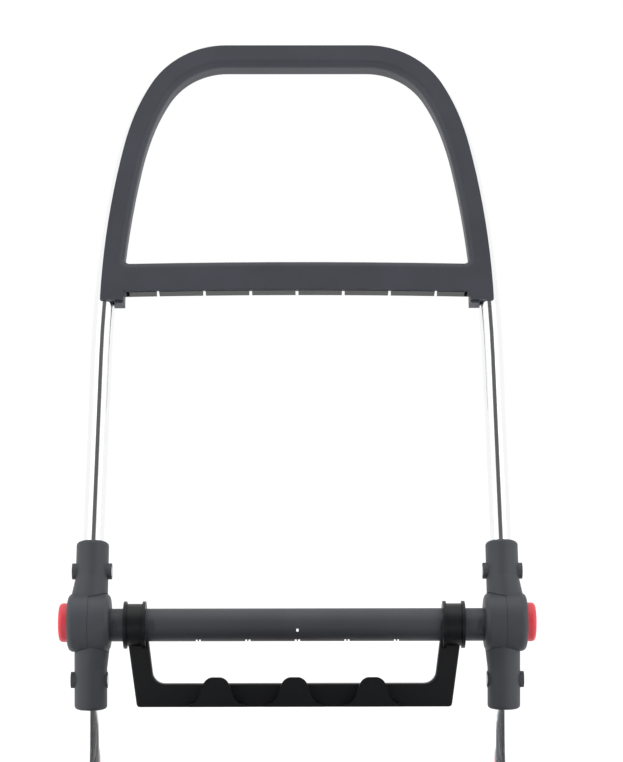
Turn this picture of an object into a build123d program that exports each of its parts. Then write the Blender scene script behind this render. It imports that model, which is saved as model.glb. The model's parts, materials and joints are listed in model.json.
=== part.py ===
from build123d import *

import os
from math import cos, radians, sin, tan

# Folding platform cart: a ribbed deck on four wheels, with a push handle that folds down at two knuckles.
# Row frame in millimetres: +Z up, +X to the cart's right, +Y to the rear, where the user stands.
# The origin is on the floor, in the middle of the cart's outline.

# ---------------------------------------------------------------- driving dimensions
LEAN = 18.0  # the push handle leans back from upright, degrees
MAST_Y = 214.0  # the knuckle axis, behind the origin
KNUCKLE_Z = 350.0  # the knuckle axis, above the floor
HALF_TRACK = 234.5  # side tube axis, from the middle of the cart
TUBE_R, TUBE_WALL = 12.5, 1.5
GAP = 0.3  # clearance between pieces that move against each other
FIT = 0.1  # clearance between pieces that are fixed together
RUN = 0.06  # running clearance of a shaft

# push handle, measured up from the knuckle axis
TUBE_START = 37.5  # where a tube end stops inside its socket
TUBE_HEADING = 0.8  # the handle tube leans inwards, degrees
TUBE_STRAIGHT = 278.7
TUBE_ARCS = ((1500.0, 9.2), (358.0, 14.2), (105.0, 65.8))  # radius and turn in degrees
LEG_X, LEG_BOTTOM, OUTER_HEADING = 232.9, 384.6, 1.6
OUTER_ARCS = ((1050.0, 10.9), (333.0, 5.7), (257.0, 12.1), (105.0, 59.7))
OPENING_X, OPENING_BOTTOM, INNER_HEADING = 205.6, 431.9, 5.0
INNER_ARCS = ((1184.0, 6.2), (373.0, 7.2), (230.0, 12.4), (81.0, 59.2))
LEG_INNER_X = 205.0
GRIP_DEPTH = 15.5  # each shell, from the seam to its face
OPENING_EDGE, OPENING_CORNER, LOWER_EDGE = 8.0, 6.0, 1.6  # rounded edges of each shell
BAR_BOTTOM = 395.0  # lower edge of the grip's cross bar
BAR_BACK, BAR_WALL, BAR_BOW = 5.0, 2.5, 2.3  # the bar rises towards its middle
LUG_X, LUG_HALF, LUG_LOW = 211.0, 5.0, 381.4  # small tab under each leg
LUG_FRONT, LUG_BACK, LUG_EDGE = -12.0, -4.0, 1.2
STRIP_Z, STRIP_HEIGHT, RIB_SLOT, SLOT_TOP = 394.4, 10.0, 3.4, 402.4
SLOT_PITCH, SLOT_COUNT = 55.0, 7
BAR_SCREWS = ((27.5, 415.5), (137.5, 415.5))  # x and height
LEG_SCREWS = ((210.4, 393.0),)
SCREW_R, SCREW_HEAD_R, SCREW_HEAD, SCREW_SUNK = 1.6, 3.4, 2.2, 2.6

# knuckles, measured out from the middle of the cart
DRUM_R, DRUM_EDGE = 33.0, 6.5
DRUM_SPLIT, DRUM_OUT = 236.0, 260.0
DRUM_IN = 2 * DRUM_SPLIT - DRUM_OUT
DRUM_BORE_R, NECK_GAP = 27.0, 0.6
TEETH, TOOTH_TIP_R, TOOTH_WIDTH = 12, 24.0, 5.6
SOCKET_R, SOCKET_TOP_EDGE = 18.6, 4.0
UPPER_FLARE, LOWER_FLARE, FLARE_LOW, FLARE_HIGH = 3.2, 1.9, 20.0, 52.0
CLAMP_BOSS_R, CLAMP_R, CLAMP_HEAD_R, CLAMP_HEAD = 9.25, 3.2, 6.0, 3.0
UPPER_CLAMP, LOWER_CLAMP = 59.5, 65.0  # clamp screws, from the knuckle axis
UPPER_BOSS = (-22.6, 22.6)  # faces of the clamp bosses, from the tube's axis
LOWER_BOSS = (-22.4, 19.2)  # turned with the lower half, so the longer side is outwards
UPPER_SOCKET, LOWER_SOCKET = 93.2, 98.0
OUTER_BORE, INNER_BORE = 10.6, 20.0  # depth of each toothed bore from the split
BUTTON_R, BUTTON_END, BUTTON_WALL, BUTTON_EDGE = 22.0, 270.1, 2.4, 4.5
FLANGE_IN, FLANGE_OUT, BUTTON_FLANGE_R = 252.9, 255.9, 24.5
LIP_IN = 256.4
GUIDE_IN, GUIDE_OUT = 243.4, 246.4
LEG_PITCH_R, LEG_R, LEG_END, LEG_COUNT = 14.0, 2.4, 236.1, 3
BOLT_R, BOLT_HEAD_R, BOLT_HEAD = 4.0, 6.5, 5.0
GEAR_IN, GEAR_OUT, SPRING_POCKET = 224.0, 235.6, 6.0
SPRING_R, SPRING_WIRE, SPRING_TURNS = 9.5, 1.6, 4
SPIGOT_R, SPIGOT_BORE, SPIGOT_IN = 15.9, 9.0, 200.0

# crossbar and bag hanger, measured from the crossbar's axis
BAR_DROP = 2.8  # the crossbar's axis, below the knuckle axis
BAR_R, BAR_SHELL = 18.6, 2.6
NOTCH_PITCH, NOTCH_COUNT, NOTCH_WIDTH, NOTCH_DEPTH, NOTCH_RIB = 56.2, 5, 6.0, 3.0, 1.4
PEEP_WIDTH, PEEP_HEIGHT, PEEP_FRONT, PEEP_REAR = 2.6, 4.0, -4.1, -8.2  # a hole, lower behind
RECESS_X, RECESS_LONG, RECESS_WIDE, RECESS_DEPTH = (164.0, 206.5), 18.0, 4.0, 1.4
CROSSBAR_SCREWS = ((28.0, 0.0), (140.0, 0.0))  # x and height
HANGER_SHIFT = -3.5  # the hanger has slid a little to the left along the crossbar
CLIP_X, CLIP_WIDTH = 180.8, 24.8
CLIP_R, FLANGE_R, FLANGE_WIDTH, CLIP_MOUTH = 24.0, 26.8, 3.4, 24.0
ARM_TOP, ARM_OUT_TOP, ARM_OUT_LOW, ARM_IN_TOP, ARM_IN_LOW = -17.0, 188.8, 178.6, 165.4, 159.2
HANGER_TOP, HANGER_BOTTOM, HANGER_DEPTH, HANGER_SKIN = -66.6, -92.9, 10.0, 2.6
HANGER_INNER, HANGER_OUTER, HANGER_EDGE = 14.0, 4.0, 2.0  # corner and edge radii
HOOK_PITCH, HOOK_TIP, HOOK_LOW, HOOK_REACH, HOOK_THICK = 88.3, -57.2, -90.4, 16.0, 3.6
HOOK_FLOOR = 3.0  # thickness of the shelf behind each tongue
HOOK_BASE, HOOK_NECK, HOOK_CROWN = 31.0, 19.6, 14.0  # half widths

# chassis
TUBE_Z, BEND_R, TUBE_FRONT = 140.0, 50.0, -398.0
DECK_LOW, DECK_TOP, DECK_RIM, RIM_WIDTH = 152.8, 172.0, 4.0, 9.0
DECK_HALF, DECK_FRONT, DECK_BACK = 250.0, -450.0, 118.0
HEEL_HALF, HEEL_BACK = 217.0, 188.0  # the heel panel passes between the tubes
DECK_CORNER, HEEL_CORNER, DECK_SKIN, DECK_RIB = 34.0, 14.0, 6.4, 2.6
RIB_PITCH_X, RIB_PITCH_Y = 50.0, 62.0
HEEL_SCREWS = 150.0
DECK_SCREWS = (-340.0, -130.0, 90.0)
STRIP_PITCH, STRIP_COUNT, STRIP_WIDE, STRIP_LONG, STRIP_SINK = 76.0, 5, 34.0, 420.0, 1.6
LASH_X, LASH_Y, LASH_R = 380.0, 320.0, 4.5  # spacing of four holes for tie-down bolts
CROSS_TUBE_R, CROSS_TUBES = 11.0, (-265.0, -70.0, 45.0, 150.0)

# wheels
REAR_R, REAR_WIDTH, REAR_X, AXLE_Y, AXLE_R = 80.0, 32.0, 272.5, 190.0, 6.0
REAR_RIM_R, AXLE_END, WEB_SUNK = 66.0, 293.0, 6.0
CASTER_R, CASTER_WIDTH, CASTER_RIM_R = 50.0, 28.0, 39.0
CASTER_X, CASTER_Y, TRAIL = 192.0, -408.0, 30.0
CORNER_LOW, CROWN_TOP, CROWN_LOW = 119.0, 115.5, 111.5
FORK_IN, FORK_THICK, KINGPIN_R, CASTER_AXLE_R = 17.5, 3.0, 6.0, 4.0

# parking brake
BRAKE_Y, BRAKE_Z, BRAKE_R = 244.0, 156.0, 5.0

UPRIGHT = Location((0, MAST_Y, KNUCKLE_Z))
LEANING = Location((0, MAST_Y, KNUCKLE_Z), (-LEAN, 0, 0))
CROSSBAR = Location((0, MAST_Y, KNUCKLE_Z - BAR_DROP))
HANGER = Location((HANGER_SHIFT, MAST_Y, KNUCKLE_Z - BAR_DROP))

os.makedirs("parts", exist_ok=True)


def save(part, name, frame=None):
    """Places a finished piece in the row frame, labels it and writes its STEP file."""
    shape = part.moved(frame) if frame else part
    shape.label = name
    export_step(shape, f"parts/{name}.step")


def save_pair(part, name, frame=None):
    """Writes the right-hand piece and its mirror image."""
    save(part, name + "_right", frame)
    save(part.mirror(Plane.YZ), name + "_left", frame)


def rod(radius, x0, x1, y=0.0, z=0.0, mode=Mode.ADD):
    """A round bar along X from x0 to x1."""
    with BuildSketch(Plane.YZ.offset(x0)) as disc:
        with Locations((y, z)):
            Circle(radius)
    extrude(disc.sketch, amount=x1 - x0, mode=mode)


def pin(radius, y0, y1, x=0.0, z=0.0, mode=Mode.ADD):
    """A round bar along Y from y0 to y1."""
    with BuildSketch(Plane.XZ.offset(-y1)) as disc:
        with Locations((x, z)):
            Circle(radius)
    extrude(disc.sketch, amount=y1 - y0, mode=mode)


def post(radius, z0, z1, x=0.0, y=0.0, mode=Mode.ADD):
    """A round bar along Z from z0 to z1."""
    with BuildSketch(Plane.XY.offset(z0)) as disc:
        with Locations((x, y)):
            Circle(radius)
    extrude(disc.sketch, amount=z1 - z0, mode=mode)


def block(x0, x1, y0, y1, z0, z1, mode=Mode.ADD):
    """A rectangular block between two corners."""
    with BuildSketch(Plane.XY.offset(z0)) as base:
        with Locations(((x0 + x1) / 2, (y0 + y1) / 2)):
            Rectangle(x1 - x0, y1 - y0)
    extrude(base.sketch, amount=z1 - z0, mode=mode)


def hexagon_rod(radius, x0, x1, y=0.0, z=0.0):
    """A hexagonal bar along X, for bolt heads and nuts."""
    with BuildSketch(Plane.YZ.offset(x0)) as profile:
        with Locations((y, z)):
            RegularPolygon(radius, 6)
    extrude(profile.sketch, amount=x1 - x0)


def chain(start, heading, arcs):
    """Tangent arcs that turn inwards from a start point; returns the end point."""
    x, z = start
    for radius, turn in arcs:
        tangent = (-sin(radians(heading)), cos(radians(heading)))
        JernArc((x, z), tangent, radius, turn)
        after = heading + turn
        x -= radius * (cos(radians(heading)) - cos(radians(after)))
        z += radius * (sin(radians(after)) - sin(radians(heading)))
        heading = after
    return x, z


# ================================================================= push handle
def sweep_handle_tube(radius, bore=0.0, mode=Mode.ADD):
    """Sweeps a round section along the handle tube's centre line, from both sockets over the top."""
    slope = tan(radians(TUBE_HEADING))
    bend = (HALF_TRACK - TUBE_STRAIGHT * slope, TUBE_START + TUBE_STRAIGHT)
    with BuildLine(Plane.XZ) as half:
        Line((HALF_TRACK, TUBE_START), bend)
        end = chain(bend, TUBE_HEADING, TUBE_ARCS)
        Line(end, (0, end[1]))
    with BuildSketch(Plane((HALF_TRACK, 0, TUBE_START), z_dir=half.line % 0)) as section:
        Circle(radius)
        if bore:
            Circle(bore, mode=Mode.SUBTRACT)
    leg = sweep(section.sketch, path=half.line, mode=Mode.PRIVATE)
    add([leg, leg.mirror(Plane.YZ)], mode=mode)


def make_handle_tube():
    with BuildPart() as tube:
        sweep_handle_tube(TUBE_R, TUBE_R - TUBE_WALL)
        for side in (-1, 1):
            middle = side * HALF_TRACK
            rod(CLAMP_R + FIT, middle - 30, middle + 30, z=UPPER_CLAMP, mode=Mode.SUBTRACT)
    save(tube.part, "handle_tube", LEANING)


def bowed(height, reach):
    """An arc across the grip that rises towards its middle."""
    ThreePointArc((-reach, height), (0, height + BAR_BOW), (reach, height))


def opening_outline():
    """The hand opening inside the D-shaped grip."""
    with BuildLine() as outline:
        end = chain((OPENING_X, OPENING_BOTTOM), INNER_HEADING, INNER_ARCS)
        Line(end, (0, end[1]))
        mirror(about=Plane.YZ)
        bowed(OPENING_BOTTOM, OPENING_X)
    make_face(outline.edges(), mode=Mode.SUBTRACT)


def grip_outline():
    """The outside of the D-shaped grip, with its cross bar raised between the two legs."""
    with BuildLine() as outline:
        end = chain((LEG_X, LEG_BOTTOM), OUTER_HEADING, OUTER_ARCS)
        Line(end, (0, end[1]))
        Polyline((LEG_INNER_X, BAR_BOTTOM), (LEG_INNER_X, LEG_BOTTOM), (LEG_X, LEG_BOTTOM))
        mirror(about=Plane.YZ)
        bowed(BAR_BOTTOM, LEG_INNER_X)
    make_face(outline.edges())


def bar_band(low, high, reach, y0, y1, mode=Mode.ADD):
    """A bowed strip across the grip between two heights, from y0 back to y1."""
    with BuildLine() as outline:
        bowed(low, reach)
        bowed(high, reach)
        Line((reach, low), (reach, high))
        Line((-reach, low), (-reach, high))
    with BuildSketch(Plane.XZ.offset(-y1)) as band:
        make_face(outline.edges())
    extrude(band.sketch, amount=y1 - y0, mode=mode)


def grip_half(depth):
    """One half of the grip: forwards of the seam for a positive depth, backwards for a negative one."""
    seam = FIT / 2 if depth > 0 else -FIT / 2
    with BuildPart() as half:
        with BuildSketch(Plane.XZ.offset(seam)) as face:
            grip_outline()
            opening_outline()
            corners = face.vertices().filter_by(lambda v: abs(v.Y - OPENING_BOTTOM) < 0.1)
            fillet(corners, OPENING_CORNER)
        extrude(amount=depth - seam)
        face = half.faces().filter_by(Plane.XZ).sort_by(lambda f: abs(f.center().Y))[-1]
        fillet(face.inner_wires()[0].edges(), OPENING_EDGE)
        face = half.faces().filter_by(Plane.XZ).sort_by(lambda f: abs(f.center().Y))[-1]
        fillet(face.edges().filter_by(bar_edge), LOWER_EDGE)
    return half.part


def bar_edge(edge):
    """True for the lower edge of the cross bar."""
    middle = edge @ 0.5
    return abs(middle.X) < 1 and abs(middle.Z - BAR_BOTTOM - BAR_BOW) < 0.5


def pins(places, radius, y0, y1, mode=Mode.ADD):
    """Round bars along Y at the given places on both sides."""
    for x, z in places:
        for side in (-1, 1):
            pin(radius, y0, y1, side * x, z, mode)


def make_grip_front():
    inside = LEG_INNER_X - BAR_WALL
    roof = OPENING_BOTTOM - BAR_WALL
    with BuildPart() as shell:
        add(grip_half(GRIP_DEPTH))
        for side in (-LUG_X, LUG_X):
            block(side - LUG_HALF, side + LUG_HALF, LUG_FRONT, LUG_BACK, LUG_LOW, LEG_BOTTOM + 1)
        lowest = shell.faces().sort_by(Axis.Z)[:2]
        fillet(lowest[0].edges() + lowest[1].edges(), LUG_EDGE)
        sweep_handle_tube(TUBE_R + FIT, mode=Mode.SUBTRACT)
        bar_band(BAR_BOTTOM - 5, roof, inside, BAR_WALL - GRIP_DEPTH, 0, Mode.SUBTRACT)
        pins(BAR_SCREWS, SCREW_HEAD_R, BAR_WALL - GRIP_DEPTH, -FIT / 2)
        pins(BAR_SCREWS + LEG_SCREWS, SCREW_R + FIT / 2, BAR_WALL - GRIP_DEPTH, 0, Mode.SUBTRACT)
    save(shell.part, "grip_front_shell", LEANING)


def make_grip_rear():
    inside = LEG_INNER_X - BAR_WALL
    roof = OPENING_BOTTOM - BAR_WALL
    with BuildPart() as shell:
        add(grip_half(-GRIP_DEPTH))
        top = OPENING_BOTTOM + 0.01
        bar_band(BAR_BOTTOM - 5, top, LEG_INNER_X, BAR_BACK, GRIP_DEPTH + 1, Mode.SUBTRACT)
        sweep_handle_tube(TUBE_R + FIT, mode=Mode.SUBTRACT)
        bar_band(BAR_BOTTOM - 5, roof, inside, 0, BAR_BACK - BAR_WALL, Mode.SUBTRACT)
        pins(BAR_SCREWS, SCREW_HEAD_R + 1.2, FIT / 2, BAR_BACK)
        pins(BAR_SCREWS + LEG_SCREWS, SCREW_R + FIT, 0, GRIP_DEPTH, Mode.SUBTRACT)
        for places, rear in ((BAR_SCREWS, BAR_BACK), (LEG_SCREWS, GRIP_DEPTH)):
            pins(places, SCREW_HEAD_R + FIT, rear - SCREW_SUNK, rear, Mode.SUBTRACT)
        with BuildSketch(Plane.XY.offset(STRIP_Z - 5)) as slots:
            with GridLocations(SLOT_PITCH, 1, SLOT_COUNT, 1):
                Rectangle(RIB_SLOT, 4 * BAR_BACK)
        extrude(slots.sketch, amount=SLOT_TOP - STRIP_Z + 5, mode=Mode.SUBTRACT)
    save(shell.part, "grip_rear_shell", LEANING)


def make_bar_strip():
    """The ribbed strip that closes the grip's cross bar from below."""
    reach = LEG_INNER_X - BAR_WALL - 4
    front = BAR_WALL - GRIP_DEPTH + FIT
    with BuildPart() as strip:
        bar_band(STRIP_Z, STRIP_Z + STRIP_HEIGHT, reach, front, BAR_BACK - BAR_WALL - FIT)
        with BuildSketch(Plane.XY.offset(STRIP_Z - 5)):
            with GridLocations(SLOT_PITCH, 1, SLOT_COUNT, 1):
                Rectangle(RIB_SLOT, 4 * BAR_BACK + 20)
        extrude(amount=SLOT_TOP - STRIP_Z + 5, mode=Mode.SUBTRACT)
    save(strip.part, "bar_strip", LEANING)


def make_grip_screws():
    with BuildPart() as screws:
        for places, rear in ((BAR_SCREWS, BAR_BACK), (LEG_SCREWS, GRIP_DEPTH)):
            pins(places, SCREW_HEAD_R, rear - SCREW_SUNK, rear - SCREW_SUNK + SCREW_HEAD)
            pins(places, SCREW_R, BAR_WALL - GRIP_DEPTH, rear - SCREW_SUNK)
    save(screws.part, "grip_screws", LEANING)


# ================================================================= knuckles
def bore_teeth(x0, x1):
    """Blocks around the inside of a drum's bore."""
    height = DRUM_BORE_R + 1 - TOOTH_TIP_R
    with BuildSketch(Plane.YZ.offset(x0)) as teeth:
        with PolarLocations(TOOTH_TIP_R + height / 2, TEETH):
            Rectangle(height, TOOTH_WIDTH)
    extrude(teeth.sketch, amount=x1 - x0)


def gear(x0, x1):
    """A disc whose teeth stand in the gaps between the teeth of the bores."""
    body_r = TOOTH_TIP_R - GAP
    reach = DRUM_BORE_R - GAP - body_r + 1
    with BuildSketch(Plane.YZ.offset(x0)) as profile:
        Circle(body_r)
        with PolarLocations(body_r - 1 + reach / 2, TEETH, start_angle=180 / TEETH):
            Rectangle(reach, TOOTH_WIDTH)
    extrude(profile.sketch, amount=x1 - x0)


def leg_holes(radius, x0, x1, mode):
    """The button's legs, or the windows they pass through."""
    with BuildSketch(Plane.YZ.offset(x0)) as legs:
        with PolarLocations(LEG_PITCH_R, LEG_COUNT, start_angle=30):
            Circle(radius)
    extrude(legs.sketch, amount=x1 - x0, mode=mode)


def knuckle_half(axis_x, heading, flare, socket_end, clamp_z, boss, bore_depth):
    """Half a drum with its socket. X runs from the split face into the drum; the socket points up."""
    lean = (-sin(radians(heading)), 0, cos(radians(heading)))
    with BuildPart() as half:
        rod(DRUM_R, GAP / 2, DRUM_OUT - DRUM_SPLIT)
        fillet(half.edges().group_by(Axis.X)[-1], DRUM_EDGE)
        with BuildSketch(Plane.XY.offset(FLARE_LOW)):
            with Locations((axis_x + flare, 0)):
                Circle(SOCKET_R + flare)
        with BuildSketch(Plane.XY.offset(FLARE_HIGH)):
            with Locations((axis_x, 0)):
                Circle(SOCKET_R)
        loft()
        post(SOCKET_R, FLARE_HIGH, socket_end, axis_x)
        fillet(half.edges().group_by(Axis.Z)[-1], SOCKET_TOP_EDGE)
        rod(CLAMP_BOSS_R, axis_x + boss[0], axis_x + boss[1], z=clamp_z)
        rod(DRUM_R + NECK_GAP, -3 * DRUM_R, GAP / 2, mode=Mode.SUBTRACT)
        with BuildSketch(Plane((axis_x, 0, TUBE_START - FIT), z_dir=lean)):
            Circle(TUBE_R + FIT)
        extrude(amount=socket_end, mode=Mode.SUBTRACT)
        rod(CLAMP_R + FIT, axis_x - 30, axis_x + 30, z=clamp_z, mode=Mode.SUBTRACT)
        for face_x, turn in ((axis_x + boss[0], 1), (axis_x + boss[1], -1)):
            rod(CLAMP_HEAD_R + FIT, face_x, face_x + turn * CLAMP_HEAD, z=clamp_z, mode=Mode.SUBTRACT)
        rod(DRUM_BORE_R, 0, bore_depth, mode=Mode.SUBTRACT)
        bore_teeth(GAP / 2, bore_depth)
    return half.part


def make_knuckles():
    outside = Location((DRUM_SPLIT, 0, 0))
    inside = Location((DRUM_SPLIT, 0, 0), (0, 180, 0))
    axis_x = HALF_TRACK - DRUM_SPLIT
    upper = knuckle_half(
        axis_x, TUBE_HEADING, UPPER_FLARE, UPPER_SOCKET, UPPER_CLAMP, UPPER_BOSS, OUTER_BORE
    )
    lower = knuckle_half(-axis_x, 0, LOWER_FLARE, LOWER_SOCKET, LOWER_CLAMP, LOWER_BOSS, INNER_BORE)
    with BuildPart() as upper_half:
        add(upper.moved(outside))
        rod(BUTTON_FLANGE_R + GAP, DRUM_SPLIT + OUTER_BORE, LIP_IN, mode=Mode.SUBTRACT)
        rod(BUTTON_R + GAP, LIP_IN, DRUM_OUT, mode=Mode.SUBTRACT)
    save_pair(upper_half.part, "upper_knuckle", LEANING)
    with BuildPart() as lower_half:
        add(lower.moved(inside))
        rod(SPIGOT_R, SPIGOT_IN, DRUM_IN + 1, z=-BAR_DROP)
        rod(SPIGOT_BORE, SPIGOT_IN, DRUM_IN, mode=Mode.SUBTRACT)
        rod(BOLT_R + FIT, DRUM_IN - 1, DRUM_SPLIT - INNER_BORE, mode=Mode.SUBTRACT)
    save_pair(lower_half.part, "lower_knuckle", UPRIGHT)


def make_lock():
    """Button, guide disc, lock gear, spring and hinge bolt, from the outside in."""
    with BuildPart() as button:
        rod(BUTTON_R, FLANGE_IN, BUTTON_END)
        fillet(button.edges().group_by(Axis.X)[-1], BUTTON_EDGE)
        rod(BUTTON_FLANGE_R, FLANGE_IN, FLANGE_OUT)
        rod(BUTTON_R - BUTTON_WALL, FLANGE_IN, BUTTON_END - BUTTON_WALL, mode=Mode.SUBTRACT)
        leg_holes(LEG_R, LEG_END, BUTTON_END - BUTTON_WALL + 0.5, Mode.ADD)
    save_pair(button.part, "release_button", LEANING)

    with BuildPart() as guide:
        gear(GUIDE_IN, GUIDE_OUT)
        rod(BOLT_R + RUN, GUIDE_IN, GUIDE_OUT, mode=Mode.SUBTRACT)
        leg_holes(LEG_R + GAP, GUIDE_IN, GUIDE_OUT, Mode.SUBTRACT)
    save_pair(guide.part, "button_guide", LEANING)

    with BuildPart() as lock_gear:
        gear(GEAR_IN, GEAR_OUT)
        rod(BOLT_R + GAP, GEAR_IN, GEAR_OUT, mode=Mode.SUBTRACT)
        rod(SPRING_R + SPRING_WIRE, GEAR_IN, GEAR_IN + SPRING_POCKET, mode=Mode.SUBTRACT)
    save_pair(lock_gear.part, "lock_gear", UPRIGHT)

    start = DRUM_SPLIT - INNER_BORE + SPRING_WIRE / 2 + FIT
    length = GEAR_IN + SPRING_POCKET - SPRING_WIRE / 2 - FIT - start
    pitch = length / SPRING_TURNS
    coil = Helix(pitch, length, SPRING_R, center=(start, 0, 0), direction=(1, 0, 0))
    with BuildPart() as spring:
        with BuildSketch(Plane(coil @ 0, z_dir=coil % 0)):
            Circle(SPRING_WIRE / 2)
        sweep(path=coil, is_frenet=True)
    save_pair(spring.part, "gear_spring", UPRIGHT)

    with BuildPart() as bolts:
        rod(BOLT_R, DRUM_IN - BOLT_HEAD, GUIDE_OUT + FIT)
        hexagon_rod(BOLT_HEAD_R, GUIDE_OUT + FIT, GUIDE_OUT + FIT + BOLT_HEAD)
        hexagon_rod(BOLT_HEAD_R, DRUM_IN - BOLT_HEAD, DRUM_IN - FIT)
        mirror(about=Plane.YZ)
    save(bolts.part, "knuckle_bolts", UPRIGHT)


def clamp_screws(z, boss, name, frame):
    """A screw and nut that clamp each tube in its socket."""
    low, high = HALF_TRACK + boss[0], HALF_TRACK + boss[1]
    with BuildPart() as screws:
        rod(CLAMP_R, low + CLAMP_HEAD, high - CLAMP_HEAD, z=z)
        rod(CLAMP_HEAD_R, high - CLAMP_HEAD, high, z=z)
        fillet(screws.edges().group_by(Axis.X)[-1], 1.2)
        hexagon_rod(CLAMP_HEAD_R, low, low + CLAMP_HEAD, z=z)
        mirror(about=Plane.YZ)
    save(screws.part, name, frame)


# ================================================================= crossbar and hanger
def crossbar_half(front):
    """Front or rear half of the hollow crossbar between the knuckles."""
    reach = DRUM_IN - GAP
    with BuildPart() as half:
        rod(BAR_R, -reach, reach)
        rod(BAR_R - BAR_SHELL, -reach, reach, mode=Mode.SUBTRACT)
        with BuildSketch(Plane.XY.offset(-BAR_R)):
            with GridLocations(NOTCH_PITCH, 1, NOTCH_COUNT, 1):
                Rectangle(NOTCH_WIDTH, 2 * BAR_R)
                Rectangle(NOTCH_RIB, 2 * BAR_R, mode=Mode.SUBTRACT)
        extrude(amount=NOTCH_DEPTH, mode=Mode.SUBTRACT)
        pins(CROSSBAR_SCREWS, SCREW_HEAD_R + 1.2, 1 - BAR_R, BAR_R - 1)
        peep = PEEP_FRONT if front else PEEP_REAR
        low, high = peep - PEEP_HEIGHT / 2, peep + PEEP_HEIGHT / 2
        block(-PEEP_WIDTH / 2, PEEP_WIDTH / 2, -BAR_R, BAR_R, low, high, Mode.SUBTRACT)
        for x in RECESS_X:
            for turn in (-1, 1):
                with BuildSketch(Plane.XZ.offset(BAR_R - RECESS_DEPTH)):
                    with Locations((turn * x, 0)):
                        SlotOverall(RECESS_LONG, RECESS_WIDE, rotation=90)
                extrude(amount=RECESS_DEPTH, mode=Mode.SUBTRACT)
        pins(CROSSBAR_SCREWS, SCREW_R + FIT, 1 - BAR_R, BAR_R, Mode.SUBTRACT)
        pins(CROSSBAR_SCREWS, SCREW_HEAD_R + FIT, BAR_R - SCREW_SUNK, BAR_R, Mode.SUBTRACT)
        limit = 2 * BAR_R
        if front:
            block(-limit - reach, limit + reach, -FIT / 2, limit, -limit, limit, Mode.SUBTRACT)
        else:
            block(-limit - reach, limit + reach, -limit, FIT / 2, -limit, limit, Mode.SUBTRACT)
    return half.part


def make_crossbar():
    save(crossbar_half(True), "crossbar_front", CROSSBAR)
    save(crossbar_half(False), "crossbar_rear", CROSSBAR)
    with BuildPart() as screws:
        pins(CROSSBAR_SCREWS, SCREW_HEAD_R, BAR_R - SCREW_SUNK, BAR_R - SCREW_SUNK + SCREW_HEAD)
        pins(CROSSBAR_SCREWS, SCREW_R, 2 - BAR_R, BAR_R - SCREW_SUNK)
    save(screws.part, "crossbar_screws", CROSSBAR)


def hook_outline():
    """A bell-shaped tongue: a flared foot, nearly upright sides and a domed tip."""
    foot = HOOK_LOW + 1.6
    shoulder = HOOK_LOW + 11
    crown = HOOK_TIP - 6.5
    with BuildLine() as outline:
        Polyline((0, HOOK_LOW), (HOOK_BASE + 2, HOOK_LOW), (HOOK_BASE, foot))
        ThreePointArc((HOOK_BASE, foot), (HOOK_NECK + 4.4, foot + 3.6), (HOOK_NECK, shoulder))
        Line((HOOK_NECK, shoulder), (HOOK_CROWN, crown))
        ThreePointArc((HOOK_CROWN, crown), (HOOK_CROWN - 4, HOOK_TIP - 2), (HOOK_CROWN - 9, HOOK_TIP))
        Line((HOOK_CROWN - 9, HOOK_TIP), (0, HOOK_TIP))
        mirror(about=Plane.YZ)
    make_face(outline.edges())


def hanger_outline(inset=0.0):
    """The U-shaped frame between the clips, seen from the front, inset all round for its hollow back."""
    low = HANGER_BOTTOM + inset
    top = ARM_TOP - 2 * inset
    with BuildLine() as outline:
        Polyline(
            (0, low), (ARM_OUT_LOW - inset, low), (ARM_OUT_TOP - inset, top),
            (ARM_IN_TOP + inset, top), (ARM_IN_LOW + inset, HANGER_TOP - inset), (0, HANGER_TOP - inset),
        )
        mirror(about=Plane.YZ)
    make_face(outline.edges())


def corners_at(sketch, z):
    """The outermost corners of a sketch at one height."""
    return sketch.vertices().filter_by(lambda v: abs(v.Y - z) < 0.1 and abs(v.X) > ARM_IN_LOW - 5)


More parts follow.
